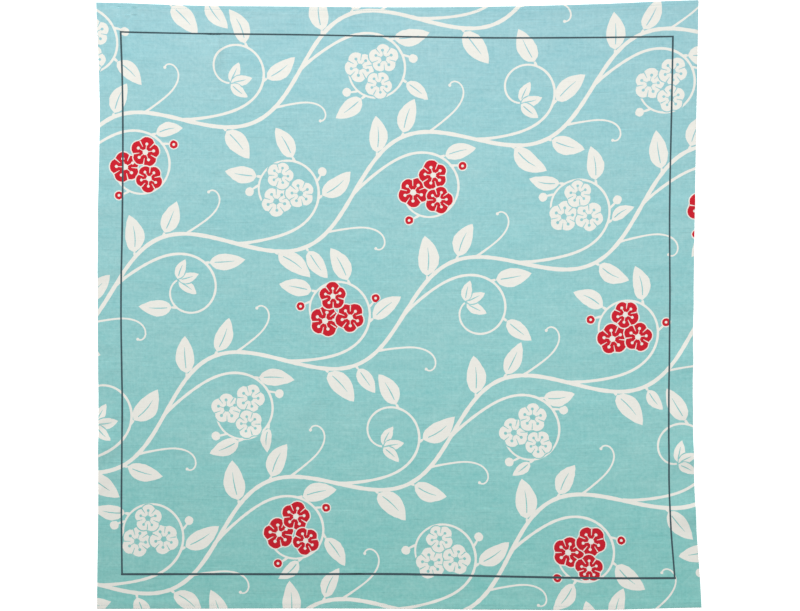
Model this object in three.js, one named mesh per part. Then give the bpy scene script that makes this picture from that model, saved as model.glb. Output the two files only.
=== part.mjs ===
// An open furoshiki: one square of printed slub cotton, lying face up on its resting surface.
// The weft runs left to right, so the left and right edges are selvedges, and the top and bottom
// edges are turned under twice and sewn as narrow hems. The cloth is a thin sheet that lies flat
// but for soft puckers at its sides, a flute at its top left and two slack creases.
// Millimetres, +Z up, +X to the cloth's right and +Y to its top. The origin is under the centre of
// the cloth's bounding box, on the resting surface.
import * as THREE from "three";

// Driving dimensions
const WIDTH = 1052; // furthest reach of the cloth, left to right
const LENGTH = 1060; // furthest reach of the cloth, bottom to top
const CLOTH_THICKNESS = 1;
const HEM_THICKNESS = 2.2; // three layers, pressed
const HEM_WIDTH = 8;
const HEM_STEP = 0.8; // how far the hem's inner edge takes to come down to one layer

// How far each edge is drawn in from the bounding box. Top and bottom are read from left to right,
// left and right from bottom to top, at these shares of the edge's length.
const EDGE_DRAW = [
  { share: 0 / 6, top: 4.0, bottom: 1.9, left: 1.3, right: 0.0 },
  { share: 1 / 6, top: 9.4, bottom: 2.3, left: 3.4, right: 10.8 },
  { share: 2 / 6, top: 11.1, bottom: 2.8, left: 3.9, right: 14.9 },
  { share: 3 / 6, top: 12.4, bottom: 2.1, left: 2.6, right: 13.8 },
  { share: 4 / 6, top: 11.2, bottom: 0.5, left: 3.5, right: 11.2 },
  { share: 5 / 6, top: 6.8, bottom: 0.2, left: 6.1, right: 8.3 },
  { share: 6 / 6, top: 0.0, bottom: 4.2, left: 0.0, right: 5.2 },
];

// Soft ridges in the cloth. Each is highest at (x, y), runs both ways along its heading, in degrees
// from +X, for its reach, and falls to nothing at its half width.
const FOLDS = [
  { name: "right pucker 1", x: 520, y: 175, heading: 184, reach: 70, halfWidth: 23, height: 2.4 },
  { name: "right pucker 2", x: 516, y: 2, heading: 178, reach: 80, halfWidth: 22, height: 2.2 },
  { name: "right pucker 3", x: 514, y: -98, heading: 181, reach: 95, halfWidth: 34, height: 3.3 },
  { name: "right pucker 4", x: 516, y: -264, heading: 176, reach: 110, halfWidth: 32, height: 4.5 },
  { name: "right pucker 5", x: 520, y: -360, heading: 179, reach: 95, halfWidth: 36, height: 4.8 },
  { name: "left pucker 1", x: -524, y: 170, heading: 3, reach: 75, halfWidth: 32, height: 3.0 },
  { name: "left pucker 2", x: -524, y: 63, heading: 2, reach: 70, halfWidth: 30, height: 2.3 },
  { name: "left pucker 3", x: -524, y: -120, heading: 6, reach: 75, halfWidth: 30, height: 1.6 },
  { name: "left pucker 4", x: -524, y: -248, heading: 36, reach: 80, halfWidth: 34, height: 3.8 },
  { name: "top flute", x: -318, y: 446, heading: 270, reach: 60, halfWidth: 18, height: 4.2 },
  { name: "slack crease 1", x: -160, y: -172, heading: 58, reach: 52, halfWidth: 30, height: 2.4 },
  { name: "slack crease 2", x: -262, y: -236, heading: 12, reach: 105, halfWidth: 26, height: 1.9 },
];

// Grid lines of the mesh: a coarse base, with each fold's own lines across its slopes
const BASE_CELLS = 11;
const LEAST_CELL = 9.5;

// The value of a column of EDGE_DRAW at a share of the edge's length, on a smooth curve.
function drawIn(column, share) {
  const spans = EDGE_DRAW.length - 1;
  const span = Math.min(Math.floor(share * spans), spans - 1);
  const t = share * spans - span;
  const at = (row) => EDGE_DRAW[Math.max(0, Math.min(spans, row))][column];
  const [before, from, to, after] = [at(span - 1), at(span), at(span + 1), at(span + 2)];
  const startSlope = (to - before) / 2;
  const endSlope = (after - from) / 2;
  const square = t * t;
  const cube = square * t;
  return (
    from * (2 * cube - 3 * square + 1) +
    startSlope * (cube - 2 * square + t) +
    to * (3 * square - 2 * cube) +
    endSlope * (cube - square)
  );
}

// Where the point at shares (across, along) of the flat square lies on the resting surface.
function place(across, along) {
  const left = -WIDTH / 2 + drawIn("left", along);
  const right = WIDTH / 2 - drawIn("right", along);
  const bottom = -LENGTH / 2 + drawIn("bottom", across);
  const top = LENGTH / 2 - drawIn("top", across);
  return new THREE.Vector2(left + (right - left) * across, bottom + (top - bottom) * along);
}

// 1 at the middle of a fold and 0 from its limit on, with no corner at either.
function fade(distance, limit) {
  return Math.cos((Math.PI / 2) * Math.min(1, Math.abs(distance) / limit)) ** 2;
}

// How far the cloth's underside stands off the resting surface.
function lift(x, y) {
  let height = 0;
  for (const fold of FOLDS) {
    const heading = THREE.MathUtils.degToRad(fold.heading);
    const away = new THREE.Vector2(x - fold.x, y - fold.y);
    const run = away.x * Math.cos(heading) + away.y * Math.sin(heading);
    const side = away.y * Math.cos(heading) - away.x * Math.sin(heading);
    height += fold.height * fade(run, fold.reach) * fade(side, fold.halfWidth);
  }
  return height;
}

function thickness(along) {
  const fromHem = Math.min(along, 1 - along) * LENGTH;
  const inner = THREE.MathUtils.clamp((fromHem - HEM_WIDTH) / HEM_STEP, 0, 1);
  return HEM_THICKNESS + (CLOTH_THICKNESS - HEM_THICKNESS) * inner;
}

// Shares of a side where grid lines run. Fixed ones always stay, and a wished one is left out where
// it comes nearer than LEAST_CELL to a line that is there.
function gridLines(size, fixed, wished) {
  const lines = [...fixed];
  for (const share of wished) {
    const isClear = lines.every((line) => Math.abs(line - share) * size > LEAST_CELL);
    if (share > 0 && share < 1 && isClear) lines.push(share);
  }
  return lines.sort((a, b) => a - b);
}

// The shares that a fold needs along one axis: its crest, its two slopes and its feet.
function foldShares(size, centre, extent) {
  return [0, -0.5, 0.5, -1, 1].map((step) => (centre + step * extent) / size + 0.5);
}

function foldLines(size, axis) {
  const shares = [];
  for (const fold of FOLDS) {
    const heading = THREE.MathUtils.degToRad(fold.heading);
    const runsAlongX = Math.abs(Math.cos(heading)) > Math.SQRT1_2;
    const isRun = runsAlongX === (axis === "x");
    shares.push(...foldShares(size, fold[axis], isRun ? fold.reach : fold.halfWidth));
  }
  return shares;
}

function baseLines() {
  return Array.from({ length: BASE_CELLS - 1 }, (_, cell) => (cell + 1) / BASE_CELLS);
}

function hemLines() {
  const foot = HEM_WIDTH / LENGTH;
  const shoulder = (HEM_WIDTH + HEM_STEP) / LENGTH;
  return [0, foot, shoulder, 1 - shoulder, 1 - foot, 1];
}

// The closed sheet: an upper face, an underside and four edges, all on one grid.
function clothGeometry() {
  const columns = gridLines(WIDTH, [0, 1], [...foldLines(WIDTH, "x"), ...baseLines()]);
  const rows = gridLines(LENGTH, hemLines(), [...foldLines(LENGTH, "y"), ...baseLines()]);
  const positions = [];
  for (const along of rows) {
    for (const across of columns) {
      const { x, y } = place(across, along);
      const under = lift(x, y);
      positions.push(x, y, under + thickness(along), x, y, under);
    }
  }
  const upper = (row, column) => 2 * (row * columns.length + column);
  const under = (row, column) => upper(row, column) + 1;
  const indices = [];
  const quad = (a, b, c, d) => indices.push(a, b, c, a, c, d);
  const lastRow = rows.length - 1;
  const lastColumn = columns.length - 1;
  for (let r = 0; r < lastRow; r += 1) {
    for (let c = 0; c < lastColumn; c += 1) {
      quad(upper(r, c), upper(r, c + 1), upper(r + 1, c + 1), upper(r + 1, c));
      quad(under(r, c), under(r + 1, c), under(r + 1, c + 1), under(r, c + 1));
    }
  }
  for (let c = 0; c < lastColumn; c += 1) {
    quad(under(0, c), under(0, c + 1), upper(0, c + 1), upper(0, c));
    quad(under(lastRow, c + 1), under(lastRow, c), upper(lastRow, c), upper(lastRow, c + 1));
  }
  for (let r = 0; r < lastRow; r += 1) {
    quad(under(r + 1, 0), under(r, 0), upper(r, 0), upper(r + 1, 0));
    quad(under(r, lastColumn), under(r + 1, lastColumn), upper(r + 1, lastColumn), upper(r, lastColumn));
  }
  const geometry = new THREE.BufferGeometry();
  geometry.setAttribute("position", new THREE.Float32BufferAttribute(positions, 3));
  geometry.setIndex(indices);
  geometry.computeVertexNormals();
  return geometry;
}

const dyedCotton = new THREE.MeshStandardMaterial({ color: 0x96cdcd, roughness: 0.88, metalness: 0 });
const cloth = new THREE.Mesh(clothGeometry(), dyedCotton);
cloth.name = "furoshiki_cloth";

const furoshiki = new THREE.Group();
furoshiki.add(cloth);

export default furoshiki;
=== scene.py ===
# An open furoshiki of printed slub cotton, laid face up on a pale floor.
# Metres, +Z up, +X to the cloth's right and +Y to its top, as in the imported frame.
# The sheet is cut from one flat square: its print is cut into the face, so every ink has a clean
# edge, and the flat square is then laid on the edges and soft folds that the frame's solid has.

import math
import random
from itertools import product
from types import SimpleNamespace

import bpy
import numpy as np
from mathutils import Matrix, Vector
from mathutils.geometry import delaunay_2d_cdt


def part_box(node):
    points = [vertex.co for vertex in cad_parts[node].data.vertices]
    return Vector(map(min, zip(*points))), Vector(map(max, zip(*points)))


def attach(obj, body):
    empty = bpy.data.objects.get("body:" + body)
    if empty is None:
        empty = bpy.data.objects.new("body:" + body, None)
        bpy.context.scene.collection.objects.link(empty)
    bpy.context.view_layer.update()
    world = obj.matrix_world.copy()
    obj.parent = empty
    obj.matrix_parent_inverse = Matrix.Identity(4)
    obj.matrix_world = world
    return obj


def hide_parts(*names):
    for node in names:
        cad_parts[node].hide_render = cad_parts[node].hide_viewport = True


bl_info = {
    "name": "Printed furoshiki",
    "version": (1, 0, 0),
    "blender": (4, 5, 0),
    "location": "View3D > Sidebar > Furoshiki",
    "description": "Lays an open printed furoshiki, sews its hems and sets a soft studio round it",
    "category": "Object",
}

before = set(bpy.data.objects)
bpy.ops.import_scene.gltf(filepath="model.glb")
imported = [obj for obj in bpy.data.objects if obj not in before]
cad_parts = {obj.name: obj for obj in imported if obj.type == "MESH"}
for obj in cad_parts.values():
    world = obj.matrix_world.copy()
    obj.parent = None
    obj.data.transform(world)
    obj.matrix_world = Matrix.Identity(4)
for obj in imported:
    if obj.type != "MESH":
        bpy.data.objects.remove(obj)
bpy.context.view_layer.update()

MM = 0.001
CLOTH_NODE = "furoshiki_cloth"
CLOTH_PIECE = "printed_cloth"
STITCH_PIECE = "hem_stitching"
BODY = "root"

# The cloth's furthest reach, from the frame, and the size that it was cut to
REACH_X = 2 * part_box(CLOTH_NODE)[1][0]
REACH_Y = 2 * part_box(CLOTH_NODE)[1][1]
REACH = np.array((REACH_X, REACH_Y))
HALF_X, HALF_Y = REACH_X / 2, REACH_Y / 2

# The corners of a square two wide, anticlockwise
SQUARE = ((-1, -1), (1, -1), (1, 1), (-1, 1))

# The cloth's sides: which way each faces, its length, the depth behind it, and the sides that it
# runs from and to
LEVEL = (REACH_X, REACH_Y, "left", "right")
UPRIGHT = (REACH_Y, REACH_X, "bottom", "top")
SIDES = {"top": (1, *LEVEL), "bottom": (-1, *LEVEL), "left": (-1, *UPRIGHT), "right": (1, *UPRIGHT)}

# How far each edge is drawn in from the reach, in mm, at each sixth of its length. Top and bottom
# are read from left to right, left and right from bottom to top.
EDGE_DRAW = {
    "top": (4.0, 9.4, 11.1, 12.4, 11.2, 6.8, 0.0),
    "bottom": (1.9, 2.3, 2.8, 2.1, 0.5, 0.2, 4.2),
    "left": (1.3, 3.4, 3.9, 2.6, 3.5, 6.1, 0.0),
    "right": (0.0, 10.8, 14.9, 13.8, 11.2, 8.3, 5.2),
}

# How far the printed rule lies in from each edge of the flat cloth, in mm, read in the same way
RULE_INSET = {
    "top": (50.7, 48.8, 49.1, 51.2, 54.5, 58.0, 62.6),
    "bottom": (59.7, 59.9, 59.4, 60.3, 57.8, 54.7, 50.7),
    "left": (44.0, 40.8, 41.9, 40.9, 42.7, 40.3, 41.9),
    "right": (43.2, 44.6, 42.2, 41.4, 44.3, 43.6, 43.5),
}

# Width of each of the rule's four lines, in mm, and the points along one
RULE_WIDTH = {"top": 3.0, "bottom": 3.9, "left": 3.2, "right": 3.1}
RULE_STEPS = 28

# Soft ridges: crest x and y, heading in degrees from +X, reach both ways along it, half width and
# height. All but the heading are in mm.
FOLDS = (
    # Puckers at the right
    (521, 375, 182, 60, 30, 1.2),
    (520, 175, 184, 70, 23, 2.4),
    (516, 2, 178, 80, 22, 2.2),
    (514, -98, 181, 95, 34, 3.3),
    (518, -186, 180, 60, 20, 2.1),
    (516, -264, 176, 110, 32, 4.5),
    (520, -360, 179, 95, 36, 4.8),
    # Puckers at the left
    (-524, 374, 4, 60, 28, 1.9),
    (-524, 282, 2, 55, 24, 1.3),
    (-524, 226, -3, 60, 24, 1.3),
    (-524, 170, 3, 75, 32, 3.0),
    (-524, 123, 0, 50, 20, 1.7),
    (-524, 63, 2, 70, 30, 2.3),
    (-524, -68, 4, 55, 20, 0.9),
    (-524, -120, 6, 75, 30, 1.6),
    (-524, -203, 24, 70, 17, 2.0),
    (-524, -256, 36, 80, 34, 4.0),
    (-524, -305, 40, 60, 28, 1.8),
    # Flutes at the top left
    (-485, 490, 270, 80, 12, 3.0),
    (-460, 486, 270, 85, 12, 2.8),
    (-448, 425, 270, 50, 24, 2.4),
    (-318, 446, 270, 60, 18, 4.5),
    # Slack creases
    (-160, -172, 58, 52, 30, 2.4),
    (-262, -236, 12, 105, 26, 1.9),
    (-232, -108, 3, 80, 24, 1.0),
    (237, 139, 45, 90, 30, 0.7),
    (332, -179, -25, 60, 34, 1.0),
)

# Mesh points over a fold: how far apart along it, in mm, and at which shares of its half width
FOLD_STEP = 6
FOLD_SIDES = (-1, -0.66, -0.33, 0, 0.33, 0.66, 1)

# Faint waves that keep the rest of the cloth from lying dead flat: wave length in mm, heading in
# degrees and share of the ripple's height
RIPPLES = ((171, 78, 0.34), (127, -14, 0.26), (93, 41, 0.22), (66, 112, 0.18))

# Half width of the dip that a seam makes, and how far past the hem the underside steps up
SEAM_REACH = 1.2 * MM
HEM_FOOT = 0.1 * MM

# Marks in the slub cotton: width and height in mm, layer and detail of their noise, how far they
# change the tone, and how far they let the undyed cotton through
MARKS = {
    "slub": (6.5, 6.0, 0.0, 2.0, 0.16, 0.15),
    "fine slub": (3.0, 2.6, 3.0, 1.0, 0.14, 0.0),
    "warp streak": (2.2, 46, 4.0, 1.0, 0.10, 0.0),
    "weft row": (100, 2.6, 5.0, 2.0, 0.07, 0.0),
    "short row": (55, 11, 6.0, 1.0, 0.05, 0.0),
    "wide row": (500, 26, 8.0, 1.0, 0.06, 0.0),
    "cloud": (36, 15, 9.0, 3.0, 0.08, 0.15),
    "drift": (130, 90, 12.0, 2.0, 0.0, 0.12),
    "yarn": (60, 1.9, 7.0, 1.0, 0.0, 0.0),
}
# How far from its mean a yarn's thickness has to be to show, and how strongly it shows
YARN_SLACK, YARN_TONE = 0.1, 0.6
# Width of a yarn in the weave, in mm
YARN_WIDTH = 0.62
# The darker band over a hem: where it fades, in mm from the edge, and its strength
HEM_BAND = {"From Min": 6.0, "From Max": 11.0, "To Min": 0.035, "To Max": 0.0}

# The sewing thread's twist and the size of its fuzz
TWIST_LENGTH, FUZZ_LENGTH = 0.42 * MM, 0.5 * MM

GROUND, RESERVE, RED, RULE = range(4)


def dye(red, green, blue):
    """A colour given in 8-bit display values, as Blender's linear red, green, blue and alpha."""
    shares = [value / 255 for value in (red, green, blue)]
    linear = [s / 12.92 if s <= 0.04045 else ((s + 0.055) / 1.055) ** 2.4 for s in shares]
    return (*linear, 1.0)


def number_setting(name, description, default, **options):
    return bpy.props.FloatProperty(name=name, description=description, default=default, **options)


def length_setting(name, description, default):
    """A length whose default is given in mm."""
    return number_setting(name, description, default * MM, min=0.0, precision=5, unit="LENGTH")


def share_setting(name, description, default):
    return number_setting(name, description, default, min=0.0, subtype="FACTOR")


def colour_setting(name, description, default):
    return bpy.props.FloatVectorProperty(
        name=name, description=description, default=default, size=4, min=0.0, max=1.0, subtype="COLOR"
    )


def seed_setting(description, default):
    return bpy.props.IntProperty(name="Seed", description=description, default=default)


class ClothSettings(bpy.types.PropertyGroup):
    """Sizes of the sheet and its hems"""

    thickness: length_setting("Thickness", "One layer of the cotton", 0.7)
    hem_thickness: length_setting("Hem thickness", "Three layers, pressed", 1.4)
    hem_width: length_setting("Hem width", "Width of the narrow hem at top and bottom", 8)
    hem_fall: length_setting("Hem fall", "How far the face takes to come down off the hem", 12)
    seam_inset: length_setting("Seam inset", "From the hem's outer edge to its seam", 6.4)
    seam_depth: length_setting("Seam depth", "How far the seam pulls the face in", 0.06)
    ripple_height: length_setting("Ripple height", "Height of the faint waves", 0.5)
    grid_step: length_setting("Grid step", "Spacing of the points that carry the cloth", 12)


class PrintSettings(bpy.types.PropertyGroup):
    """Sizes of the printed scrolling vine"""

    row_angle: number_setting(
        "Row angle", "How far the rows of vine rise to the right", math.radians(23), subtype="ANGLE"
    )
    row_spacing: length_setting("Row spacing", "From one vine to the next", 232)
    wave_length: length_setting("Wave length", "One full wave of the vine", 456)
    wave_height: length_setting("Wave height", "From the row's middle to a crest", 54)
    vine_width: length_setting("Vine width", "Width of the running vine", 6.9)
    branch_width: length_setting("Branch width", "Width of a coiling branch at its foot", 5.2)
    leaf_length: length_setting("Leaf length", "Length of a full leaf", 68)
    blossom_radius: length_setting("Blossom radius", "Radius of a full blossom", 28)
    seed: seed_setting("Seed of the stencil cutter's small irregularities", 5)


class InkSettings(bpy.types.PropertyGroup):
    """Colours of the ground and the inks. The ground's top and foot colours hold painted shade as well
    as the dye's own grading: paler at the top, darker towards the foot, where the light falls off
    """

    # The ground grades from top to foot: partly the dye, partly painted shade that darkens it towards
    # the foot as the light falls off
    ground_top: colour_setting("Ground, top", "Dyed ground at the cloth's top", dye(148, 204, 213))
    ground_foot: colour_setting("Ground, foot", "Dyed ground at the cloth's foot", dye(123, 202, 196))
    reserve: colour_setting("Reserve", "Cotton kept free of dye", dye(241, 240, 232))
    red: colour_setting("Red", "Red of the blossoms", dye(208, 28, 46))
    rule: colour_setting("Rule", "Slate of the ruled frame", dye(65, 87, 94))
    back_fade: share_setting("Back fade", "How far the print pales on the back", 0.42)


class StitchSettings(bpy.types.PropertyGroup):
    """Sizes of the hem's stitches"""

    stitch_pitch: length_setting("Stitch pitch", "From one stitch to the next", 3.1)
    stitch_length: length_setting("Stitch length", "Thread that shows of one stitch", 2.7)
    thread_width: length_setting("Thread width", "Thickness of the sewing thread", 0.36)
    thread: colour_setting("Thread", "Colour of the sewing thread", dye(158, 208, 209))
    seed: seed_setting("Seed of the stitches' slant", 3)


class StageSettings(bpy.types.PropertyGroup):
    """Camera, light and floor"""

    lens: number_setting("Lens", "Focal length in millimetres", 70.0, min=1.0)
    view_width: length_setting("View width", "Width of floor that the picture shows", 1390.8)
    key_power: number_setting("Key power", "Power of the light beyond the top left corner", 129.0)
    side_power: number_setting("Side power", "Power of the light above the right side", 15.1)
    fill: share_setting("Fill", "Strength of the even light from all round", 0.1)
    floor: colour_setting("Floor", "Colour of the floor", dye(250, 250, 250))
    floor_glow: share_setting("Floor glow", "Light that the floor gives from below", 0.5)


def smooth_value(values, share):
    """Evenly spaced values read at shares of their length, on a smooth curve."""
    column = np.asarray(values, float)
    last = len(column) - 1
    place = np.clip(share, 0, 1) * last
    span = np.minimum(np.floor(place).astype(int), last - 1)
    t = place - span
    before, start, end, after = (column[np.clip(span + k, 0, last)] for k in (-1, 0, 1, 2))
    start_slope = (end - before) / 2
    end_slope = (after - start) / 2
    return (
        start * (2 * t**3 - 3 * t**2 + 1)
        + start_slope * (t**3 - 2 * t**2 + t)
        + end * (3 * t**2 - 2 * t**3)
        + end_slope * (t**3 - t**2)
    )


def fade(distance, limit):
    """1 at the middle of a fold and 0 from its limit on, with no corner at either."""
    return np.cos(np.pi / 2 * np.minimum(1, np.abs(distance) / limit)) ** 2


def soft_step(value):
    """0 up to 0 and 1 from 1 on, with an even curve between."""
    t = np.clip(value, 0, 1)
    return t * t * (3 - 2 * t)


class LaidCloth:
    """Where the points of the flat cloth lie once it is spread on the floor."""

    def __init__(self, sizes):
        self.sizes = sizes

    def place(self, across, along):
        """World x and y of the point at shares (across, along) of the flat square."""
        left, right = (HALF_X - smooth_value(EDGE_DRAW[k], along) * MM for k in ("left", "right"))
        foot, top = (HALF_Y - smooth_value(EDGE_DRAW[k], across) * MM for k in ("bottom", "top"))
        return (left + right) * across - left, (foot + top) * along - foot

    def lift(self, x, y):
        """How far the folds and the faint waves carry the cloth's underside off the floor."""
        height = np.zeros_like(x)
        for crest_x, crest_y, heading, reach, half_width, fold_height in FOLDS:
            turn = math.radians(heading)
            away_x, away_y = x - crest_x * MM, y - crest_y * MM
            run = away_x * math.cos(turn) + away_y * math.sin(turn)
            side = away_y * math.cos(turn) - away_x * math.sin(turn)
            height += fold_height * MM * fade(run, reach * MM) * fade(side, half_width * MM)
        for wave_length, heading, share in RIPPLES:
            turn = math.radians(heading)
            phase = (x * math.cos(turn) + y * math.sin(turn)) * math.tau / (wave_length * MM)
            height += self.sizes.ripple_height * share * (1 + np.sin(phase + wave_length)) / 2
        return height

    def rise(self, along):
        """How far the face and the underside stand off the lifted floor. The hem's two extra
        layers lie under the face, so the underside steps up where they end."""
        sizes = self.sizes
        from_edge = np.minimum(along, 1 - along) * REACH_Y
        past_hem = from_edge - sizes.hem_width
        extra = sizes.hem_thickness - sizes.thickness
        fall = extra * (1 - soft_step(past_hem / sizes.hem_fall))
        seam = sizes.seam_depth * fade(from_edge - sizes.seam_inset, SEAM_REACH)
        under = np.where(past_hem > HEM_FOOT, fall, seam * 1.2)
        return sizes.thickness + fall - seam, under

    def fold_points(self):
        """Points across each fold, for a mesh that follows its slopes."""
        points = []
        for crest_x, crest_y, heading, reach, half_width, _ in FOLDS:
            runs = np.linspace(-reach, reach, 1 + round(reach / FOLD_STEP))
            away = [(run, side * half_width) for run in runs for side in FOLD_SIDES]
            points += turned(away, (crest_x, crest_y), math.radians(heading))
        return [(x * MM, y * MM) for x, y in points]

    def hem_rows(self):
        """Distances from the hem's edge that need a line of points of their own."""
        sizes = self.sizes
        seam = [sizes.seam_inset + SEAM_REACH * share for share in (-1, -0.5, 0, 0.5, 1)]
        fall = [sizes.hem_width + sizes.hem_fall * share for share in (0.2, 0.4, 0.6, 0.8, 1)]
        return [1.4 * MM, 3.4 * MM, *seam, sizes.hem_width, sizes.hem_width + 3 * HEM_FOOT, *fall]


def polar(centre, radius, angle):
    return (centre[0] + radius * math.cos(angle), centre[1] + radius * math.sin(angle))


def lerp(start, end, share):
    return start + (end - start) * share


def heading_of(start, end):
    return math.atan2(end[1] - start[1], end[0] - start[0])


def turned(points, origin, angle):
    """Points about (0, 0) turned by the angle and set down at the origin given."""
    cos, sin = math.cos(angle), math.sin(angle)
    return [(origin[0] + x * cos - y * sin, origin[1] + x * sin + y * cos) for x, y in points]


def middle_of(points):
    return tuple(sum(values) / len(points) for values in zip(*points))


def grown(points, amount):
    """An outline with each point pushed away from the outline's middle by an amount."""
    middle = middle_of(points)
    return [polar(middle, math.dist(middle, p) + amount, heading_of(middle, p)) for p in points]


def near_cloth(point, margin):
    return abs(point[0]) < HALF_X + margin and abs(point[1]) < HALF_Y + margin


# A length that counts as none, and the shortest and longest steps along a grown curve with the
# most that it turns in one
NOTHING = 0.01 * MM
SHORT_STEP, LONG_STEP, STEP_TURN = 1.6 * MM, 5 * MM, 0.26


def walk(start, heading, stages):
    """A curve that grows from a start: each stage has a length and the bend that it ends with, as
    1 / radius and positive to the left. Returns its points and its last heading."""
    x, y = start
    line = [start]
    bend = stages[0][1]
    for length, end_bend in stages:
        first_bend = bend
        done = 0.0
        while done < length - NOTHING:
            tightest = max(abs(lerp(first_bend, end_bend, done / length)), 1e-6)
            step = min(length - done, LONG_STEP, max(SHORT_STEP, STEP_TURN / tightest))
            heading += lerp(first_bend, end_bend, (done + step / 2) / length) * step
            x += math.cos(heading) * step
            y += math.sin(heading) * step
            line.append((x, y))
            done += step
        bend = end_bend
    return line, heading


def place_on(line, share):
    """The point at a share of a line's points, and the line's heading there."""
    index = min(len(line) - 2, int(share * (len(line) - 1)))
    return line[index], heading_of(line[index], line[index + 1])


class Stencil:
    """The print as a pile of inked outlines on the flat cloth. A later outline covers an earlier
    one, so they are kept in layers, and a motif is cut only where the others leave it room."""

    LAYERS = ("foliage", "branches", "blossoms", "vines", "frame")
    # Side of the cells that the taken places are sorted into, and how many cells off they reach
    CELL = 25 * MM
    CELLS_OFF = range(-3, 4)
    # Width of the clear line round a leaf or a blossom
    CLEAR_LINE = 2.0 * MM
    LEAF_STEPS = 11
    PETALS = 5
    PETAL_STEPS = 7
    # Sizes and leans that a leaf tries until it has room
    LEAF_SIZES = (1.0, 0.88, 0.76, 0.66)
    LEAF_LEANS = (1.0, 1.25, 0.75, 1.5)
    # Places along a leaf, and how far from each other motifs stay, as shares of length and width
    LEAF_ROOM = ((0.45, 0.47), (0.62, 0.42), (0.8, 0.27), (1.02, 0.04))
    # Stages of a tendril: lengths as shares of its size, and bends
    TENDRIL = ((0.9, 2), (0.9, 20), (0.7, 60), (0.42, 150))

    def __init__(self, sizes):
        self.sizes = sizes
        self.hand = random.Random(sizes.seed)
        self.layers = {name: [] for name in self.LAYERS}
        self.layer = self.LAYERS[0]
        self.taken = {}

    def outlines(self):
        return [shape for name in self.LAYERS for shape in self.layers[name]]

    def wobble(self, amount):
        return self.hand.uniform(-amount, amount)

    def cell_of(self, place):
        return tuple(math.floor(value / self.CELL) for value in place)

    def take(self, centre, radius):
        """Keeps a round place for what is cut there."""
        self.taken.setdefault(self.cell_of(centre), []).append((centre, radius))

    def has_room(self, centre, radius):
        column, row = self.cell_of(centre)
        cells = [(column + i, row + j) for i, j in product(self.CELLS_OFF, self.CELLS_OFF)]
        places = [place for cell in cells for place in self.taken.get(cell, ())]
        return all(math.dist(centre, other) >= radius + reach for other, reach in places)

    def cut(self, ink, outline, rough=0.0):
        if rough:
            outline = [(x + self.wobble(rough), y + self.wobble(rough)) for x, y in outline]
        self.layers[self.layer].append((ink, outline))

    def disc(self, ink, centre, radius, sides=8):
        turns = [side * math.tau / sides for side in range(sides)]
        self.cut(ink, [polar(centre, radius * (1 + self.wobble(0.08)), turn) for turn in turns])

    def ribbon(self, ink, line, widths, rough=0.1):
        """A band along a line, in four-cornered lengths, with the cutter's uneven width."""
        banks = []
        for index, point in enumerate(line):
            before, after = line[max(0, index - 1)], line[min(len(line) - 1, index + 1)]
            heading = heading_of(before, after)
            reach = widths[index] / 2 * (1 + self.wobble(rough))
            banks.append([polar(point, reach, heading + side * math.pi / 2) for side in (1, -1)])
        for (left, right), (next_left, next_right) in zip(banks, banks[1:]):
            self.cut(ink, [left, right, next_right, next_left])

    def stem(self, line, foot_width, tip_width, swell=0.35, swell_reach=14 * MM):
        """A tapering stem whose foot swells by a share into what carries it."""
        gap = math.dist(line[0], line[1])
        last = len(line) - 1
        widths = [
            lerp(foot_width, tip_width, k / last) * (1 + swell * math.exp(-k * gap / swell_reach))
            for k in range(len(line))
        ]
        self.ribbon(RESERVE, line, widths)
        for point, width in zip(line, widths):
            self.take(point, width / 2)

    def leaf(self, root, angle, length, width, bow):
        """A pointed leaf with its midrib cut out."""

        def half_width(share):
            return width / 2 * math.sin(math.pi * share**0.78) ** 0.8

        def places(side, shares):
            """On the leaf's bowed middle line (0) or its lower (-1) or upper (1) edge."""
            spine = [bow * length * math.sin(math.pi * s) for s in shares]
            flat = [(length * s, y + side * half_width(s)) for s, y in zip(shares, spine)]
            return turned(flat, root, angle)

        steps = [step / self.LEAF_STEPS for step in range(self.LEAF_STEPS + 1)]
        outline = places(-1, steps) + places(1, steps[-2:0:-1])
        self.cut(GROUND, grown(outline, self.CLEAR_LINE))
        self.cut(RESERVE, outline, 0.5 * MM)
        rib = places(0, (0.14, 0.32, 0.5, 0.7))
        self.ribbon(GROUND, rib, [1.5 * MM, 2.1 * MM, 1.7 * MM, 0.6 * MM])
        shares = (0.25, 0.42, 0.6, 0.78, 0.95)
        for share, place in zip(shares, places(0, shares)):
            self.take(place, half_width(share))

    def leaf_has_room(self, root, angle, length, width):
        """Whether a leaf would stay clear of all that is cut. Its own stem is near its root."""
        return all(
            self.has_room(polar(root, length * share, angle), width * reach + 3 * MM)
            for share, reach in self.LEAF_ROOM
        )

    def leaf_on(self, foot, heading, side, length, stalk=8 * MM):
        """A leaf on a short stalk, to the left (1) or right (-1) of a heading. It leans and
        shrinks until it has room, and is left out where it never has."""
        for size, lean in product(self.LEAF_SIZES, self.LEAF_LEANS):
            start = heading + side * (lean + self.wobble(0.08))
            line, angle = walk(foot, start, [(stalk, -side * 25)])
            full = length * size * (1 + self.wobble(0.06))
            width = full * (0.5 + self.wobble(0.04))
            if self.leaf_has_room(line[-1], angle, full, width):
                self.leaf(line[-1], angle, full, width, self.wobble(0.09))
                self.stem(line, 3.8 * MM, 3.2 * MM, 0.4)
                return

    def tendril(self, foot, heading, side, size):
        """A thin stalk that curls up at its end. It shrinks until it has room."""
        for share in (1.0, 0.8, 0.6):
            reach = size * share
            stages = [(reach * length, side * bend / share) for length, bend in self.TENDRIL]
            line, _ = walk(foot, heading, stages)
            if all(self.has_room(point, 5 * MM) for point in line[len(line) // 3 :]):
                self.stem(line, 3.6 * MM, 2.6 * MM, 0.3)
                self.disc(RESERVE, line[-1], 2.8 * MM)
                return

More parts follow.
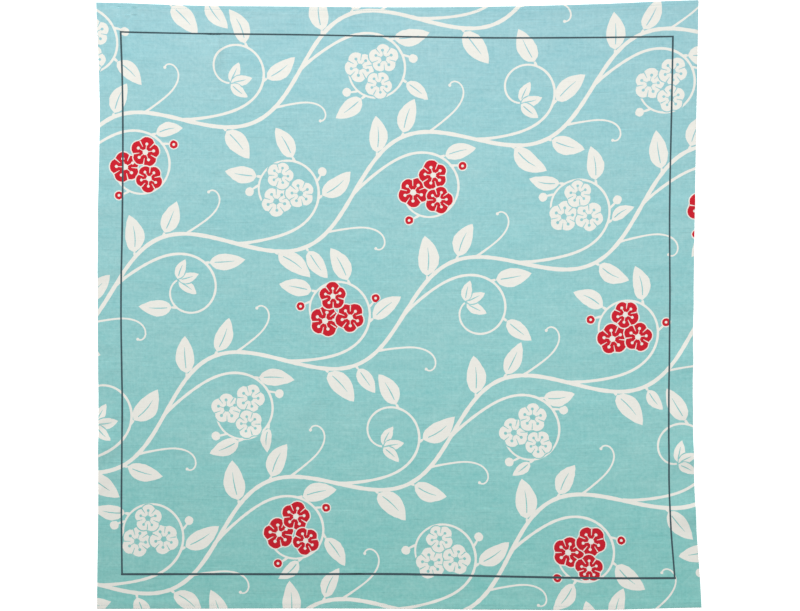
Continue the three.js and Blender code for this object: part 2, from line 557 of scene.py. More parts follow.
    def blossom(self, centre, radius, turn, ink):
        """A five-petalled plum blossom with its stamens."""
        petal_turn = math.tau / self.PETALS
        rim = []
        for petal in range(self.PETALS):
            size = radius * (1 + self.wobble(0.05))
            for step in range(self.PETAL_STEPS):
                share = (step + 0.5) / self.PETAL_STEPS
                reach = size * (0.74 + 0.26 * math.sin(math.pi * share) ** 0.55)
                rim.append(polar(centre, reach, turn + (petal + share - 0.5) * petal_turn))
        lines = RESERVE if ink == RED else GROUND
        self.cut(lines, grown(rim, self.CLEAR_LINE))
        self.cut(ink, rim, 0.35 * MM)
        for petal in range(self.PETALS):
            between = turn + (petal + 0.5) * petal_turn
            notch = [polar(centre, radius * share, between) for share in (0.42, 0.62, 0.84)]
            self.ribbon(lines, notch, [0.9 * MM, 1.4 * MM, 2.2 * MM])
            middle = turn + petal * petal_turn + self.wobble(0.08)
            stamen = [polar(centre, radius * share, middle) for share in (0.12, 0.34, 0.54)]
            self.ribbon(lines, stamen, [1.5 * MM, 1.1 * MM, 1.0 * MM])
            self.disc(lines, polar(centre, radius * 0.56, middle), radius * 0.105)
        self.disc(lines, centre, radius * 0.2, 10)
        self.take(centre, radius)

    def bud_on(self, foot, heading, side, ink):
        """A round bud on a short stalk, left out where it has no room."""
        stalk, _ = walk(foot, heading + side * 1.1, [(20 * MM, -side * 16)])
        centre, radius = stalk[-1], self.sizes.blossom_radius * 0.26
        if not self.has_room(centre, radius + 2 * MM):
            return
        self.stem(stalk, 3.4 * MM, 2.8 * MM)
        rim = [polar(centre, radius, side * math.tau / 12) for side in range(12)]
        if ink == RED:
            self.cut(RESERVE, grown(rim, 1.8 * MM))
            self.cut(RED, rim, 0.4 * MM)
            self.disc(RESERVE, centre, radius * 0.34)
        else:
            self.cut(RESERVE, grown(rim, 0.6 * MM), 0.4 * MM)
        self.take(centre, radius)


class ScrollingVine(Stencil):
    """A stencil with rows of a wavy vine. In each hollow of the wave a branch coils round blossoms
    or leaves."""

    KINDS = ("red", "leaf", "white")
    ROWS = range(-1, 6)
    HOLLOWS = range(-8, 9)
    MIDDLE_ROW = 2
    SHIFT = (14 * MM, -8 * MM)
    # Spacing of a vine's points, and their numbers from its middle
    VINE_STEP = 6 * MM
    VINE_POINTS = range(-170, 171)
    # Height and length of a vine's slow drift, and how far it differs from row to row
    DRIFT = (5 * MM, 830 * MM, 1.9)
    # A coil's outer radius in mm, and its inner radius and its turns round leaves and blossoms
    COIL_RADIUS = 71
    LEAF_COIL = (24 * MM, 1.12)
    BLOSSOM_COIL = (42 * MM, 0.98)
    # The turn in which a branch's swing into its coil fades, and a coil's longest step, in radians
    SWING_TURN, COIL_STEP = 0.42, 0.2
    # Three leaves at a coil's end: their leans. Three blossoms: how far out, how far round and
    # how large they are.
    END_LEANS = (1.25, 0.35, -0.55)
    END_BLOSSOMS = ((0.86, 0.25, 0.97), (1.0, 2.35, 0.92), (1.0, 4.3, 0.86))
    # Where buds and leaves stand. Each leaf has a size too, and each on a branch a chance.
    BUDS = (0.52, 0.9)
    VINE_LEAVES = ((0.13, 1.0), (0.255, 0.9))
    BRANCH_LEAVES = ((0.44, 0.98, 0.9), (0.66, 0.92, 0.75), (0.84, 0.84, 0.6))

    def row_place(self, row, x, y):
        """A place on the flat cloth from one along and across a row."""
        y += (row - self.MIDDLE_ROW) * self.sizes.row_spacing
        return turned([(x, y)], self.SHIFT, self.sizes.row_angle)[0]

    def vine(self, row, x):
        """The vine's middle line, with a slow drift so that no two rows are alike."""
        height, length, row_shift = self.DRIFT
        wave = self.sizes.wave_height * math.sin(math.tau * x / self.sizes.wave_length)
        drift = height * math.sin(math.tau * x / length + row * row_shift)
        return self.row_place(row, x, wave + drift)

    def draw_vine(self, row):
        line = [self.vine(row, number * self.VINE_STEP) for number in self.VINE_POINTS]
        line = [point for point in line if near_cloth(point, 80 * MM)]
        if len(line) > 3:
            self.stem(line, self.sizes.vine_width, self.sizes.vine_width, 0.0)

    def coil(self, centre, start, side, outer, inner, turns):
        """A branch that swings in from its start and coils round a centre."""
        first = heading_of(centre, start)
        swing = math.dist(centre, start) - outer
        line, angle = [], 0.0
        while angle < turns * math.tau:
            radius = lerp(outer, inner, angle / (turns * math.tau))
            radius += swing * math.exp(-angle / self.SWING_TURN)
            line.append(polar(centre, radius, first + side * angle))
            angle += min(self.COIL_STEP, LONG_STEP / radius)
        return line

    def hollow(self, row, number):
        """One hollow with its branch, or None where it lies off the cloth."""
        sizes = self.sizes
        side = 1 if number % 2 == 0 else -1
        kind = self.KINDS[(number + 2 * row) % len(self.KINDS)]
        first_x = number * sizes.wave_length / 2
        snug = sizes.wave_length**2 / (4 * math.pi**2 * sizes.wave_height)
        middle_x = first_x + sizes.wave_length / 4 + (4 + self.wobble(4)) * MM
        centre = self.row_place(row, middle_x, side * (sizes.wave_height - snug - 4 * MM))
        if not near_cloth(centre, 140 * MM):
            return None
        start = self.vine(row, first_x + self.wobble(10 * MM))
        outer = (self.COIL_RADIUS + self.wobble(3)) * MM
        inner, turns = self.LEAF_COIL if kind == "leaf" else self.BLOSSOM_COIL
        branch = self.coil(centre, start, -side, outer, inner, turns + self.wobble(0.04))
        ink = RED if kind == "red" else RESERVE
        return SimpleNamespace(
            row=row, side=side, first_x=first_x, kind=kind, ink=ink, centre=centre, branch=branch
        )

    def draw_bearing(self, hollow):
        """What the end of a branch bears: three blossoms, or three leaves."""
        tip = hollow.branch[-1]
        if hollow.kind == "leaf":
            self.layer = "foliage"
            for lean in self.END_LEANS:
                angle = heading_of(hollow.branch[-2], tip) - hollow.side * lean
                root = polar(tip, 3 * MM, angle)
                length = self.sizes.leaf_length * (0.56 + self.wobble(0.03))
                self.leaf(root, angle, length, length * 0.5, self.wobble(0.06))
            return
        self.layer = "blossoms"
        radius, turn = self.sizes.blossom_radius, self.hand.uniform(0, math.tau)
        for reach, angle, size in self.END_BLOSSOMS:
            heading = heading_of(hollow.centre, tip) - hollow.side * angle + self.wobble(0.1)
            place = polar(hollow.centre, radius * reach, heading)
            self.blossom(place, radius * size, turn + angle, hollow.ink)

    def draw_foliage(self, hollow):
        """The leaves, tendril and buds that stand on the vine and the branch."""
        side, branch = hollow.side, hollow.branch
        wave_length, leaf_length = self.sizes.wave_length, self.sizes.leaf_length

        def vine_at(x):
            return self.vine(hollow.row, x)

        crest = hollow.first_x + wave_length / 4
        flow = heading_of(vine_at(crest), vine_at(crest + 3 * MM))
        if hollow.kind != "leaf":
            for share in self.BUDS:
                self.bud_on(*place_on(branch, share), side, hollow.ink)
        for share, size in self.VINE_LEAVES:
            x = hollow.first_x + wave_length * (share + self.wobble(0.012))
            heading = heading_of(vine_at(x), vine_at(x + 5 * MM))
            self.leaf_on(vine_at(x), heading, side, leaf_length * size)
        foot = vine_at(hollow.first_x + wave_length * (0.35 + self.wobble(0.02)))
        self.tendril(foot, flow + side * 0.2, side, (44 + self.wobble(5)) * MM)
        for share, size, chance in self.BRANCH_LEAVES:
            foot, heading = place_on(branch, share + self.wobble(0.02))
            if self.hand.random() < chance:
                self.leaf_on(foot, heading, side, leaf_length * size)

    def draw_rows(self):
        self.layer = "vines"
        for row in self.ROWS:
            self.draw_vine(row)
        hollows = [self.hollow(row, number) for row in self.ROWS for number in self.HOLLOWS]
        hollows = [hollow for hollow in hollows if hollow]
        self.layer = "branches"
        for hollow in hollows:
            width = self.sizes.branch_width
            self.stem(hollow.branch, width, width * 0.62)
        for hollow in hollows:
            self.draw_bearing(hollow)
        self.layer = "foliage"
        for hollow in hollows:
            self.draw_foliage(hollow)


def rule_place(side, share):
    """The middle of the ruled line at a share of one side of the flat cloth."""
    facing, length, depth, first, _ = SIDES[side]
    inset = float(smooth_value(RULE_INSET[side], share)) * MM
    place = ((share - 0.5) * length, facing * (depth / 2 - inset))
    return place if first == "left" else place[::-1]


def rule_end(side, other, end):
    """How far in a side's line ends, where the line of the other side crosses it."""
    facing, _, depth, *_ = SIDES[side]
    share = RULE_INSET[side][end] * MM / depth
    return float(smooth_value(RULE_INSET[other], 1 - share if facing > 0 else share)) * MM


def draw_rule(stencil):
    """The thin ruled frame: four lines, each a little uneven, which meet in square corners."""
    stencil.layer = "frame"
    for side, width in RULE_WIDTH.items():
        _, length, _, first, last = SIDES[side]
        start = (rule_end(side, first, 0) - width * MM / 2) / length
        end = 1 - (rule_end(side, last, -1) - width * MM / 2) / length
        line = [rule_place(side, float(share)) for share in np.linspace(start, end, RULE_STEPS)]
        stencil.ribbon(RULE, line, [width * MM] * len(line), 0.05)


def anticlockwise(outline):
    """The outline turned anticlockwise, as the cutter needs it. A four-cornered one may cross
    itself, so its corners are put in order round its middle."""
    if len(outline) == 4:
        middle = middle_of(outline)
        return sorted(set(outline), key=lambda corner: heading_of(middle, corner))
    area = sum(a[0] * b[1] - a[1] * b[0] for a, b in zip(outline, outline[1:] + outline[:1]))
    return outline if area > 0 else outline[::-1]


class FlatPattern:
    """The flat square cut along its print into triangles, each with its ink."""

    # How far in from each selvedge a line of points runs
    SELVEDGE_ROWS = (1.2 * MM, 4.0 * MM)
    # How far from the middle a fold's points may lie, so that they stay clear of the edges
    FOLD_LIMITS = (HALF_X - 5 * MM, HALF_Y - 2 * MM)
    # Distance under which the cutter takes two points for one
    TOUCH = 1e-7

    def __init__(self, shapes, laid):
        self.points, self.edges, self.outlines = [], [], []
        self.add_outline([(x * HALF_X, y * HALF_Y) for x, y in SQUARE])
        inks = [GROUND]
        for ink, outline in shapes:
            outline = anticlockwise(outline)
            if len(outline) > 2 and any(near_cloth(point, 0) for point in outline):
                self.add_outline(outline)
                inks.append(ink)
        self.add_grid(laid)
        found = delaunay_2d_cdt(self.points, self.edges, self.outlines, 1, self.TOUCH, True)
        covers = [max(over) if 0 in over else -1 for over in found[5]]
        faces = np.array([face for face, over in zip(found[2], covers) if over >= 0])
        used, faces = np.unique(faces, return_inverse=True)
        self.faces = faces.reshape(-1, 3)
        self.flat = np.array([tuple(point) for point in found[0]])[used]
        self.inks = np.array([inks[over] for over in covers if over >= 0])

    def add_points(self, points):
        """Adds points and returns their numbers."""
        start = len(self.points)
        self.points += [Vector(point) for point in points]
        return list(range(start, len(self.points)))

    def add_outline(self, outline):
        self.outlines.append(self.add_points(outline))

    def add_grid(self, laid):
        """An even grid that carries the folds, and lines of points along the hems."""
        step = laid.sizes.grid_step
        selvedge = [HALF_X - distance for distance in self.SELVEDGE_ROWS]
        columns = np.linspace(-HALF_X, HALF_X, round(REACH_X / step) + 1)
        columns = sorted([*columns, *selvedge, *(-x for x in selvedge)])
        hem_rows = [HALF_Y - distance for distance in laid.hem_rows()]
        inner = hem_rows[-1] - step / 2
        rows = np.linspace(-inner, inner, round(2 * inner / step) + 1)
        for y in (-HALF_Y, *rows, HALF_Y):
            self.add_points((x, y) for x in columns)
        folds = laid.fold_points()
        self.add_points(point for point in folds if all(np.abs(point) < self.FOLD_LIMITS))
        for y in (*hem_rows, *(-row for row in hem_rows)):
            line = self.add_points((x, y) for x in columns)
            self.edges += zip(line, line[1:])

    def rim(self):
        """The points round the square's edge, in order, anticlockwise, and the ink at each."""
        sides = {}
        for face, (a, b, c) in enumerate(self.faces.tolist()):
            sides.update({(a, b): face, (b, c): face, (c, a): face})
        following = {a: (b, face) for (a, b), face in sides.items() if (b, a) not in sides}
        order, inks, here = [], [], min(following)
        while here not in order[:1]:
            order.append(here)
            here, face = following[here]
            inks.append(int(self.inks[face]))
        return np.array(order), np.array(inks)


# Angles round a hem's or selvedge's edge, from the face to the underside
EDGE_ANGLES = np.radians((50, 0, -50))
# Half width of the round edge at the selvedges and at the folded hems
EDGE_ROUND = np.array((0.35, 0.8)) * MM
# Share of the bake's picture that the face takes, the picture's margin, and how far apart the
# rings of the round edge lie in it
FACE_SHARE, BAKE_MARGIN = 0.79, 0.005
RING_STEP = 0.75 * MM / REACH_X


def sheet_geometry(pattern, laid):
    """The closed sheet: face, underside and round edges, with each face's ink and side, and two maps
    for each corner: the flat cloth's and the bake's."""
    flat, faces, backs = pattern.flat, pattern.faces, pattern.faces[:, ::-1]
    count = len(flat)
    share = flat / REACH + 0.5
    inset = EDGE_ROUND / REACH
    x, y = laid.place(*(inset + share * (1 - 2 * inset)).T)
    floor = laid.lift(x, y)
    upper, lower = (np.stack([x, y, floor + rise], 1) for rise in laid.rise(share[:, 1]))

    order, rim_inks = pattern.rim()
    after = np.roll(np.arange(len(order)), -1)
    out = np.where(np.abs(flat[order]) > REACH / 2 - NOTHING, np.sign(flat[order]), 0.0)
    middle = (upper[order, 2] + lower[order, 2]) / 2
    half = (upper[order, 2] - lower[order, 2]) / 2
    rings, places = [order], [upper, lower]
    for number, angle in enumerate(EDGE_ANGLES):
        ring = upper[order].copy()
        ring[:, :2] += out * EDGE_ROUND * math.cos(angle)
        ring[:, 2] = middle + half * math.sin(angle)
        places.append(ring)
        rings.append(2 * count + number * len(order) + np.arange(len(order)))
    rings.append(order + count)

    u = BAKE_MARGIN + share[:, 0] * (1 - 2 * BAKE_MARGIN)
    face_v = 1 - BAKE_MARGIN - (1 - share[:, 1]) * (FACE_SHARE - BAKE_MARGIN)
    back_v = BAKE_MARGIN + share[:, 1] * (1 - FACE_SHARE - 4 * BAKE_MARGIN)
    face_map, back_map = np.stack([u, face_v], 1), np.stack([u, back_v], 1)

    def around(values):
        """Values along the rim at the four corners of each face of a ring."""
        return np.stack([values, values, values[after], values[after]], 1)

    corners = [*faces.tolist(), *(backs + count).tolist()]
    inks = [pattern.inks, pattern.inks]
    is_back = [np.zeros(len(faces)), np.ones(len(faces))]
    flat_map = [share[faces], share[backs]]
    bake_map = [face_map[faces], back_map[backs]]
    for number, (near, far) in enumerate(zip(rings, rings[1:])):
        corners += np.stack([near, far, far[after], near[after]], 1).tolist()
        inks.append(rim_inks)
        is_back.append(np.full(len(order), number > 1))
        flat_map.append(around(share[order]))
        steps = np.array((number, number + 1, number + 1, number)) * RING_STEP
        bake_map.append(around(face_map[order]) + around(out) * steps[None, :, None])
    maps = [np.concatenate([uv.reshape(-1, 2) for uv in uvs]) for uvs in (flat_map, bake_map)]
    return np.concatenate(places), corners, np.concatenate(inks), np.concatenate(is_back), maps


def add_object(name, data):
    """A new object in the scene."""
    item = bpy.data.objects.new(name, data)
    bpy.context.collection.objects.link(item)
    return item


def build_sheet(pattern, laid, material):
    """The printed sheet as one closed mesh object."""
    places, corners, inks, is_back, maps = sheet_geometry(pattern, laid)
    mesh = bpy.data.meshes.new(CLOTH_PIECE)
    mesh.from_pydata(places.tolist(), [], corners)
    for name, values in zip(("cloth", "OFBake"), maps):
        mesh.uv_layers.new(name=name).data.foreach_set("uv", values.astype(np.float32).ravel())
    mesh.uv_layers["cloth"].active_render = True
    masks = np.stack([*(inks == ink for ink in (RESERVE, RED, RULE)), is_back], 1)
    ink_layer = mesh.attributes.new("ink", "FLOAT_COLOR", "FACE")
    ink_layer.data.foreach_set("color", masks.astype(np.float32).ravel())
    mesh.shade_smooth()
    mesh.materials.append(material)
    return add_object(CLOTH_PIECE, mesh)


def arithmetic(operation, turned_round=False):
    """A method that adds the Math node of an operation on a signal and another value."""

    def method(self, other):
        values = (other, self) if turned_round else (self, other)
        return self.bench.math(operation, *values)

    return method


class Signal:
    """A number in a node tree. Arithmetic on signals adds the Math nodes that work it out."""

    def __init__(self, bench, socket):
        self.bench = bench
        self.socket = socket

    __add__ = __radd__ = arithmetic("ADD")
    __mul__ = __rmul__ = arithmetic("MULTIPLY")
    __sub__ = arithmetic("SUBTRACT")
    __rsub__ = arithmetic("SUBTRACT", turned_round=True)
    __truediv__ = arithmetic("DIVIDE")


class Bench:
    """Adds nodes to one node tree."""

    def __init__(self, tree):
        self.tree = tree

    def add(self, kind, sockets=None, **settings):
        """One node: its kind, its settings, which are set first, and the values or links of its
        sockets. A node given as a value stands for its first output."""
        node = self.tree.nodes.new(kind)
        for name, value in settings.items():
            setattr(node, name, value)
        for name, value in (sockets or {}).items():
            if isinstance(value, Signal):
                value = value.socket
            if isinstance(value, bpy.types.Node):
                value = value.outputs[0]
            if isinstance(value, bpy.types.NodeSocket):
                self.tree.links.new(value, node.inputs[name])
            else:
                node.inputs[name].default_value = value
        return node

    def signal(self, node, output=0):
        return Signal(self, node.outputs[output])

    def math(self, operation, *values):
        return self.signal(self.add("ShaderNodeMath", dict(enumerate(values)), operation=operation))

    def noise(self, vector, detail):
        """A signal from 0 to 1 that varies with a vector, about one swing for each step of 1."""
        sockets = {"Vector": vector, "Scale": 1.0, "Detail": detail}
        return self.signal(self.add("ShaderNodeTexNoise", sockets), "Fac")

    def vector(self, x, y, z=0.0):
        return self.add("ShaderNodeCombineXYZ", {"X": x, "Y": y, "Z": z})

    def blend(self, share, first, second):
        """A colour that goes from the first to the second."""
        return self.add("ShaderNodeMix", {0: share, 6: first, 7: second}, data_type="RGBA").outputs[2]

    def shade(self, colour, factor):
        """A colour, constant or not, times a signal."""
        colour = colour[:3] if isinstance(colour, bpy.types.bpy_prop_array) else colour
        return self.add("ShaderNodeVectorMath", {0: colour, "Scale": factor}, operation="SCALE")

    def surface(self, sockets):
        """A Principled shader as the material's surface."""
        shader = self.add("ShaderNodeBsdfPrincipled", sockets)
        self.add("ShaderNodeOutputMaterial", {"Surface": shader})

    def fabric(self, colour, roughness, height, relief, sheen):
        """A cloth-like surface from its colour, its roughness and the height of its relief."""
        bump = self.add("ShaderNodeBump", {"Strength": 1.0, "Distance": relief, "Height": height})
        finish = {"Specular IOR Level": 0.2, "Sheen Weight": sheen, "Sheen Roughness": 0.5}
        self.surface({"Base Color": colour, "Roughness": roughness, "Normal": bump, **finish})


def empty_bench(owner):
    """The bench of a material or a world, with no nodes on it."""
    owner.use_nodes = True
    owner.node_tree.nodes.clear()
    return Bench(owner.node_tree)


def printed_cotton(inks):
    """Slub cotton in plain weave, with its dye and the print's inks from the mesh's ink masks, and
    painted shade that darkens the ground and the red towards the foot.
    """
    material = bpy.data.materials.new("printed_cotton")
    bench = empty_bench(material)
    flat = bench.add("ShaderNodeUVMap", uv_map="cloth")
    parts = bench.add("ShaderNodeSeparateXYZ", {0: flat})
    across, along = (bench.signal(parts, k) for k in (0, 1))
    x = across * (REACH_X / MM)
    y = along * (REACH_Y / MM)
    masks = bench.add("ShaderNodeAttribute", attribute_name="ink")
    split = bench.add("ShaderNodeSeparateColor", {0: masks})
    reserve, red, rule = (bench.signal(split, k) for k in (0, 1, 2))
    back = bench.signal(masks, "Alpha")

    marks, tones, pales = {}, [], []
    for name, (wide, tall, layer, detail, tone, pale) in MARKS.items():
        marks[name] = bench.noise(bench.vector(x / wide, y / tall, layer), detail) - 0.5
        tones += [marks[name] * tone] if tone else []
        pales += [marks[name] * pale] if pale else []
    slub, yarn = marks["slub"], marks["yarn"]
    thick_end = bench.math("MAXIMUM", yarn - YARN_SLACK, 0.0)
    thin_end = bench.math("MAXIMUM", -YARN_SLACK - yarn, 0.0)
    streaks = sum(tones) + (thin_end - thick_end) * YARN_TONE
    weft, warp = (bench.math("SINE", place * (math.pi / YARN_WIDTH)) for place in (y, x))
    weave = weft * warp * 0.5 + 0.5

    from_hem = bench.math("MINIMUM", y, REACH_Y / MM - y)
    band = {"Value": from_hem, **HEM_BAND}
    hem = bench.add("ShaderNodeMapRange", band, interpolation_type="SMOOTHSTEP")
    paleness = sum(pales) + 0.10 - bench.signal(hem) * along
    # The ground blends from its foot colour to its top colour: partly the dye, partly painted shade that
    # darkens it towards the foot
    ground_dye_and_shade = bench.blend(along, inks.ground_foot, inks.ground_top)
    ground_dye_and_shade = bench.shade(bench.blend(paleness, ground_dye_and_shade, inks.reserve), streaks + 1.0)
    undyed = bench.shade(inks.reserve, streaks * 0.35 + 1.0)
    # The red darkens towards the foot: painted shade, as the light falls off down the cloth
    red_with_painted_shade = bench.shade(inks.red, streaks * 0.8 + along * 0.09 + 0.93)
    colour = bench.blend(reserve, ground_dye_and_shade, undyed)
    colour = bench.blend(red, colour, red_with_painted_shade)
    colour = bench.blend(rule, colour, bench.shade(inks.rule, streaks + 1.0))
    colour = bench.blend(back * inks.back_fade, colour, inks.reserve)
    height = weave * 0.35 + slub * 0.9 + marks["fine slub"] * 0.3
    roughness = weave * 0.06 + 0.84 - slub * 0.1
    bench.fabric(colour, roughness, height, relief=0.12 * MM, sheen=0.10)
    return material


def sewing_thread(settings):
    """Two-ply sewing thread with painted shade along its twist: lighter where the plies rise, darker in
    the grooves between them.
    """
    material = bpy.data.materials.new("sewing_thread")
    bench = empty_bench(material)
    coordinates = bench.add("ShaderNodeTexCoord")
    parts = bench.add("ShaderNodeSeparateXYZ", {0: coordinates.outputs["Object"]})
    x, y = (bench.signal(parts, k) for k in (0, 1))
    twist = bench.math("SINE", (x + y * 0.8) * (math.tau / TWIST_LENGTH))
    fuzz = bench.noise(bench.vector(x / FUZZ_LENGTH, y / FUZZ_LENGTH), 2.0) - 0.5
    # The twist wave that raises the plies also shades the colour: painted shade in the grooves, lighter
    # on the ridges
    colour = bench.shade(settings.thread, twist * 0.06 + fuzz * 0.12 + 1.0)
    bench.fabric(colour, fuzz * 0.1 + 0.62, twist * 0.5 + 0.5, relief=0.04 * MM, sheen=0.2)
    return material


# Points of a guide line, and the shares of the cloth's width that it runs between
GUIDE_STEPS = 260
GUIDE_ENDS = (0.004, 0.996)


def guide_mesh(laid):
    """Lines along both hems, above the face and below the underside, with the stitches' roll."""
    places, edges, rolls = [], [], []
    across = np.linspace(*GUIDE_ENDS, GUIDE_STEPS)
    inset = laid.sizes.seam_inset / REACH_Y
    for seam in (inset, 1 - inset):
        along = np.full(GUIDE_STEPS, seam)
        x, y = laid.place(across, along)
        floor = laid.lift(x, y)
        for rise, roll in zip(laid.rise(along), (0.0, math.pi)):
            start = len(places)
            places += np.stack([x, y, floor + rise], 1).tolist()
            edges += [(start + step, start + step + 1) for step in range(GUIDE_STEPS - 1)]
            rolls += [roll] * GUIDE_STEPS
    mesh = bpy.data.meshes.new(STITCH_PIECE)
    mesh.from_pydata(places, edges, [])
    mesh.attributes.new("roll", "FLOAT", "POINT").data.foreach_set("value", rolls)
    return mesh


def stitch_tree(material):
    """Geometry nodes that lay one bowed stitch at each step along the guide lines."""
    tree = bpy.data.node_groups.new("hem stitches", "GeometryNodeTree")
    inputs = {"Guides": "Geometry", "Pitch": "Float", "Length": "Float", "Width": "Float", "Seed": "Int"}
    for name, kind in inputs.items():
        tree.interface.new_socket(name, in_out="INPUT", socket_type="NodeSocket" + kind)
    tree.interface.new_socket("Stitches", in_out="OUTPUT", socket_type="NodeSocketGeometry")
    bench = Bench(tree)
    given = bench.add("NodeGroupInput").outputs
    length, width = Signal(bench, given["Length"]), Signal(bench, given["Width"])

    sunk = width * -0.45
    bow = {
        "Resolution": 4,
        "Start": bench.vector(length * -0.5, 0.0, sunk),
        "Middle": bench.vector(0.0, 0.0, width * 1.5),
        "End": bench.vector(length * 0.5, 0.0, sunk),
    }
    arch = bench.add("GeometryNodeCurveQuadraticBezier", bow)
    section = bench.add("GeometryNodeCurvePrimitiveCircle", {"Resolution": 6, "Radius": width * 0.5})
    stitch = bench.add(
        "GeometryNodeCurveToMesh", {"Curve": arch, "Profile Curve": section, "Fill Caps": True}
    )
    guides = bench.add("GeometryNodeMeshToCurve", {"Mesh": given["Guides"]})
    steps = bench.add(
        "GeometryNodeResampleCurve", {"Curve": guides, "Length": given["Pitch"]}, mode="LENGTH"
    )
    tangent = bench.add("GeometryNodeInputTangent")
    along = bench.add("FunctionNodeAlignRotationToVector", {"Vector": tangent}, axis="X")
    roll = bench.add("GeometryNodeInputNamedAttribute", {"Name": "roll"}, data_type="FLOAT")
    slant = bench.add(
        "FunctionNodeRandomValue", {2: -0.05, 3: 0.05, "Seed": given["Seed"]}, data_type="FLOAT"
    )
    own_turn = bench.add(
        "FunctionNodeEulerToRotation", {0: bench.vector(roll.outputs[0], 0.0, slant.outputs[1])}
    )
    turn = bench.add(
        "FunctionNodeRotateRotation", {"Rotation": along, "Rotate By": own_turn}, rotation_space="LOCAL"
    )
    laid = bench.add(
        "GeometryNodeInstanceOnPoints", {"Points": steps, "Instance": stitch, "Rotation": turn}
    )
    real = bench.add("GeometryNodeRealizeInstances", {0: laid})
    dressed = bench.add("GeometryNodeSetMaterial", {"Geometry": real, "Material": material})
    bench.add("NodeGroupOutput", {0: dressed})
    return tree


def sew(laid, settings):
    """The stitches of both hems as one plain mesh object."""
    piece = add_object(STITCH_PIECE, guide_mesh(laid))
    modifier = piece.modifiers.new("stitches", "NODES")
    modifier.node_group = stitch_tree(sewing_thread(settings))
    inputs = {
        "Pitch": settings.stitch_pitch,
        "Length": settings.stitch_length,
        "Width": settings.thread_width,
        "Seed": settings.seed,
    }
    for socket in modifier.node_group.interface.items_tree:
        if socket.name in inputs:
            modifier[socket.identifier] = inputs[socket.name]
    depsgraph = bpy.context.evaluated_depsgraph_get()
    mesh = bpy.data.meshes.new_from_object(piece.evaluated_get(depsgraph))
    piece.modifiers.remove(modifier)
    piece.data = mesh
    mesh.name = STITCH_PIECE
    mesh.shade_smooth()
    return piece


# The floor's reach from its middle, and how far below the cloth's resting surface it lies
FLOOR_REACH, FLOOR_DROP = 12.0, 0.3 * MM
# Where the middle of the picture looks, beside the middle of the cloth
LOOK_AT = (2.1 * MM, -0.9 * MM)
SENSOR_WIDTH = 36.0
# Where each light stands, and its width and height
LIGHTS = {
    "key": ((-1.55, 2.27, 3.06), (2.0, 1.2)),
    "side": ((0.78, -0.08, 1.875), (1.0, 1.0)),
}
LIGHT_AIM = (0, -0.1, 0)
WHITE = (1.0, 1.0, 1.0, 1.0)


def build_floor(settings):
    """A wide pale floor just under the cloth."""
    mesh = bpy.data.meshes.new("floor")
    corners = [(x * FLOOR_REACH, y * FLOOR_REACH, -FLOOR_DROP) for x, y in SQUARE]
    mesh.from_pydata(corners, [], [(0, 1, 2, 3)])
    material = bpy.data.materials.new("pale_floor")
    glow = {"Emission Color": settings.floor, "Emission Strength": settings.floor_glow}
    finish = {"Base Color": settings.floor, "Roughness": 0.9, "Specular IOR Level": 0.1}
    empty_bench(material).surface({**finish, **glow})
    mesh.materials.append(material)
    floor = add_object("floor", mesh)


def build_camera(settings):
    """A camera that looks straight down, with the cloth's top at the top of the picture."""
    data = bpy.data.cameras.new("camera")
    data.lens = settings.lens
    data.sensor_width = SENSOR_WIDTH
    camera = add_object("camera", data)
    camera.location = (*LOOK_AT, settings.view_width * settings.lens / SENSOR_WIDTH)
    bpy.context.scene.camera = camera


def soft_light(name, place, size, power):
    """A soft rectangular light that faces the cloth."""
    data = bpy.data.lights.new(name, "AREA")
    data.shape = "RECTANGLE"
    data.size, data.size_y = size
    data.energy = power
    light = add_object(name, data)
    light.location = place
    light.rotation_mode = "QUATERNION"
    light.rotation_quaternion = (Vector(place) - Vector(LIGHT_AIM)).to_track_quat("Z", "Y")


def build_light(settings):
    """A large soft light beyond the top left corner, a small one at the right and an even fill."""
    for name, (place, size) in LIGHTS.items():
        soft_light(name, place, size, getattr(settings, name + "_power"))
    world = bpy.data.worlds.new("studio")
    bench = empty_bench(world)
    sky = bench.add("ShaderNodeBackground", {"Color": WHITE, "Strength": settings.fill})
    bench.add("ShaderNodeOutputWorld", {"Surface": sky})
    bpy.context.scene.world = world
    bpy.context.scene.view_settings.view_transform = "Standard"


class FUROSHIKI_OT_lay_cloth(bpy.types.Operator):
    """Cut the printed sheet and lay it over the frame's solid"""

    bl_idname = "furoshiki.lay_cloth"
    bl_label = "Lay the printed cloth"

    def execute(self, context):
        scene = context.scene
        laid = LaidCloth(scene.furoshiki_cloth)
        stencil = ScrollingVine(scene.furoshiki_print)
        stencil.draw_rows()
        draw_rule(stencil)
        pattern = FlatPattern(stencil.outlines(), laid)
        piece = build_sheet(pattern, laid, printed_cotton(scene.furoshiki_inks))
        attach(piece, BODY)
        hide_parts(CLOTH_NODE)
        return {"FINISHED"}


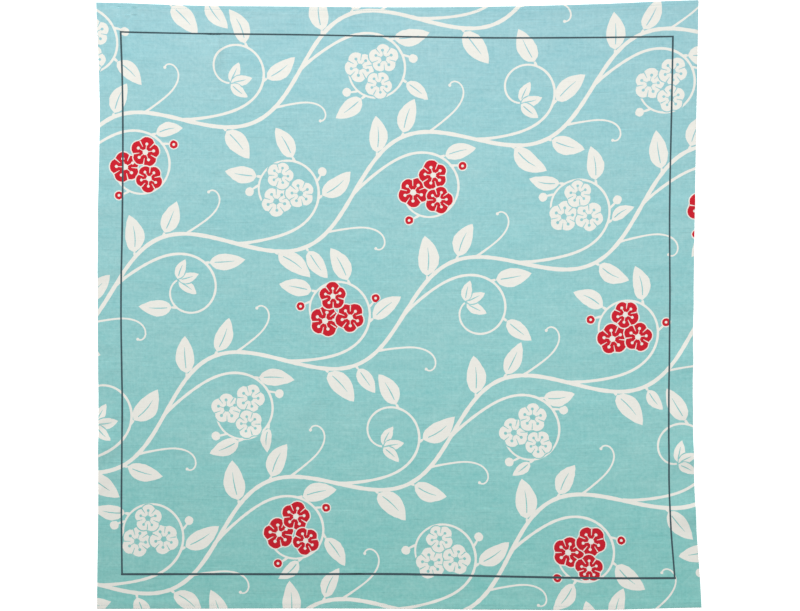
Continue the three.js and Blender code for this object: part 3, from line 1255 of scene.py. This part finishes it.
class FUROSHIKI_OT_sew_hems(bpy.types.Operator):
    """Sew the two hems along their guide lines"""

    bl_idname = "furoshiki.sew_hems"
    bl_label = "Sew the hems"

    def execute(self, context):
        scene = context.scene
        piece = sew(LaidCloth(scene.furoshiki_cloth), scene.furoshiki_stitches)
        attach(piece, BODY)
        return {"FINISHED"}


class FUROSHIKI_OT_set_stage(bpy.types.Operator):
    """Set the pale floor, the soft light and the camera"""

    bl_idname = "furoshiki.set_stage"
    bl_label = "Set the studio"

    def execute(self, context):
        settings = context.scene.furoshiki_stage
        build_floor(settings)
        build_camera(settings)
        build_light(settings)
        return {"FINISHED"}


class FUROSHIKI_PT_panel(bpy.types.Panel):
    """Lists the steps and their settings"""

    bl_label = "Furoshiki"
    bl_idname = "FUROSHIKI_PT_panel"
    bl_space_type = "VIEW_3D"
    bl_region_type = "UI"
    bl_category = "Furoshiki"

    def draw(self, context):
        for operator in OPERATORS:
            self.layout.operator(operator.bl_idname)
        for name in SETTINGS:
            box = self.layout.box()
            group = getattr(context.scene, name)
            for key in group.bl_rna.properties.keys():
                if key not in ("rna_type", "name"):
                    box.prop(group, key)


OPERATORS = (FUROSHIKI_OT_lay_cloth, FUROSHIKI_OT_sew_hems, FUROSHIKI_OT_set_stage)
SETTINGS = {
    "furoshiki_cloth": ClothSettings,
    "furoshiki_print": PrintSettings,
    "furoshiki_inks": InkSettings,
    "furoshiki_stitches": StitchSettings,
    "furoshiki_stage": StageSettings,
}
CLASSES = (*SETTINGS.values(), *OPERATORS, FUROSHIKI_PT_panel)


def register():
    for cls in CLASSES:
        bpy.utils.register_class(cls)
    for name, group in SETTINGS.items():
        setattr(bpy.types.Scene, name, bpy.props.PointerProperty(type=group))


def unregister():
    for name in SETTINGS:
        delattr(bpy.types.Scene, name)
    for cls in reversed(CLASSES):
        bpy.utils.unregister_class(cls)


def main():
    register()
    bpy.ops.furoshiki.lay_cloth()
    bpy.ops.furoshiki.sew_hems()
    bpy.ops.furoshiki.set_stage()


if __name__ == "__main__":
    main()
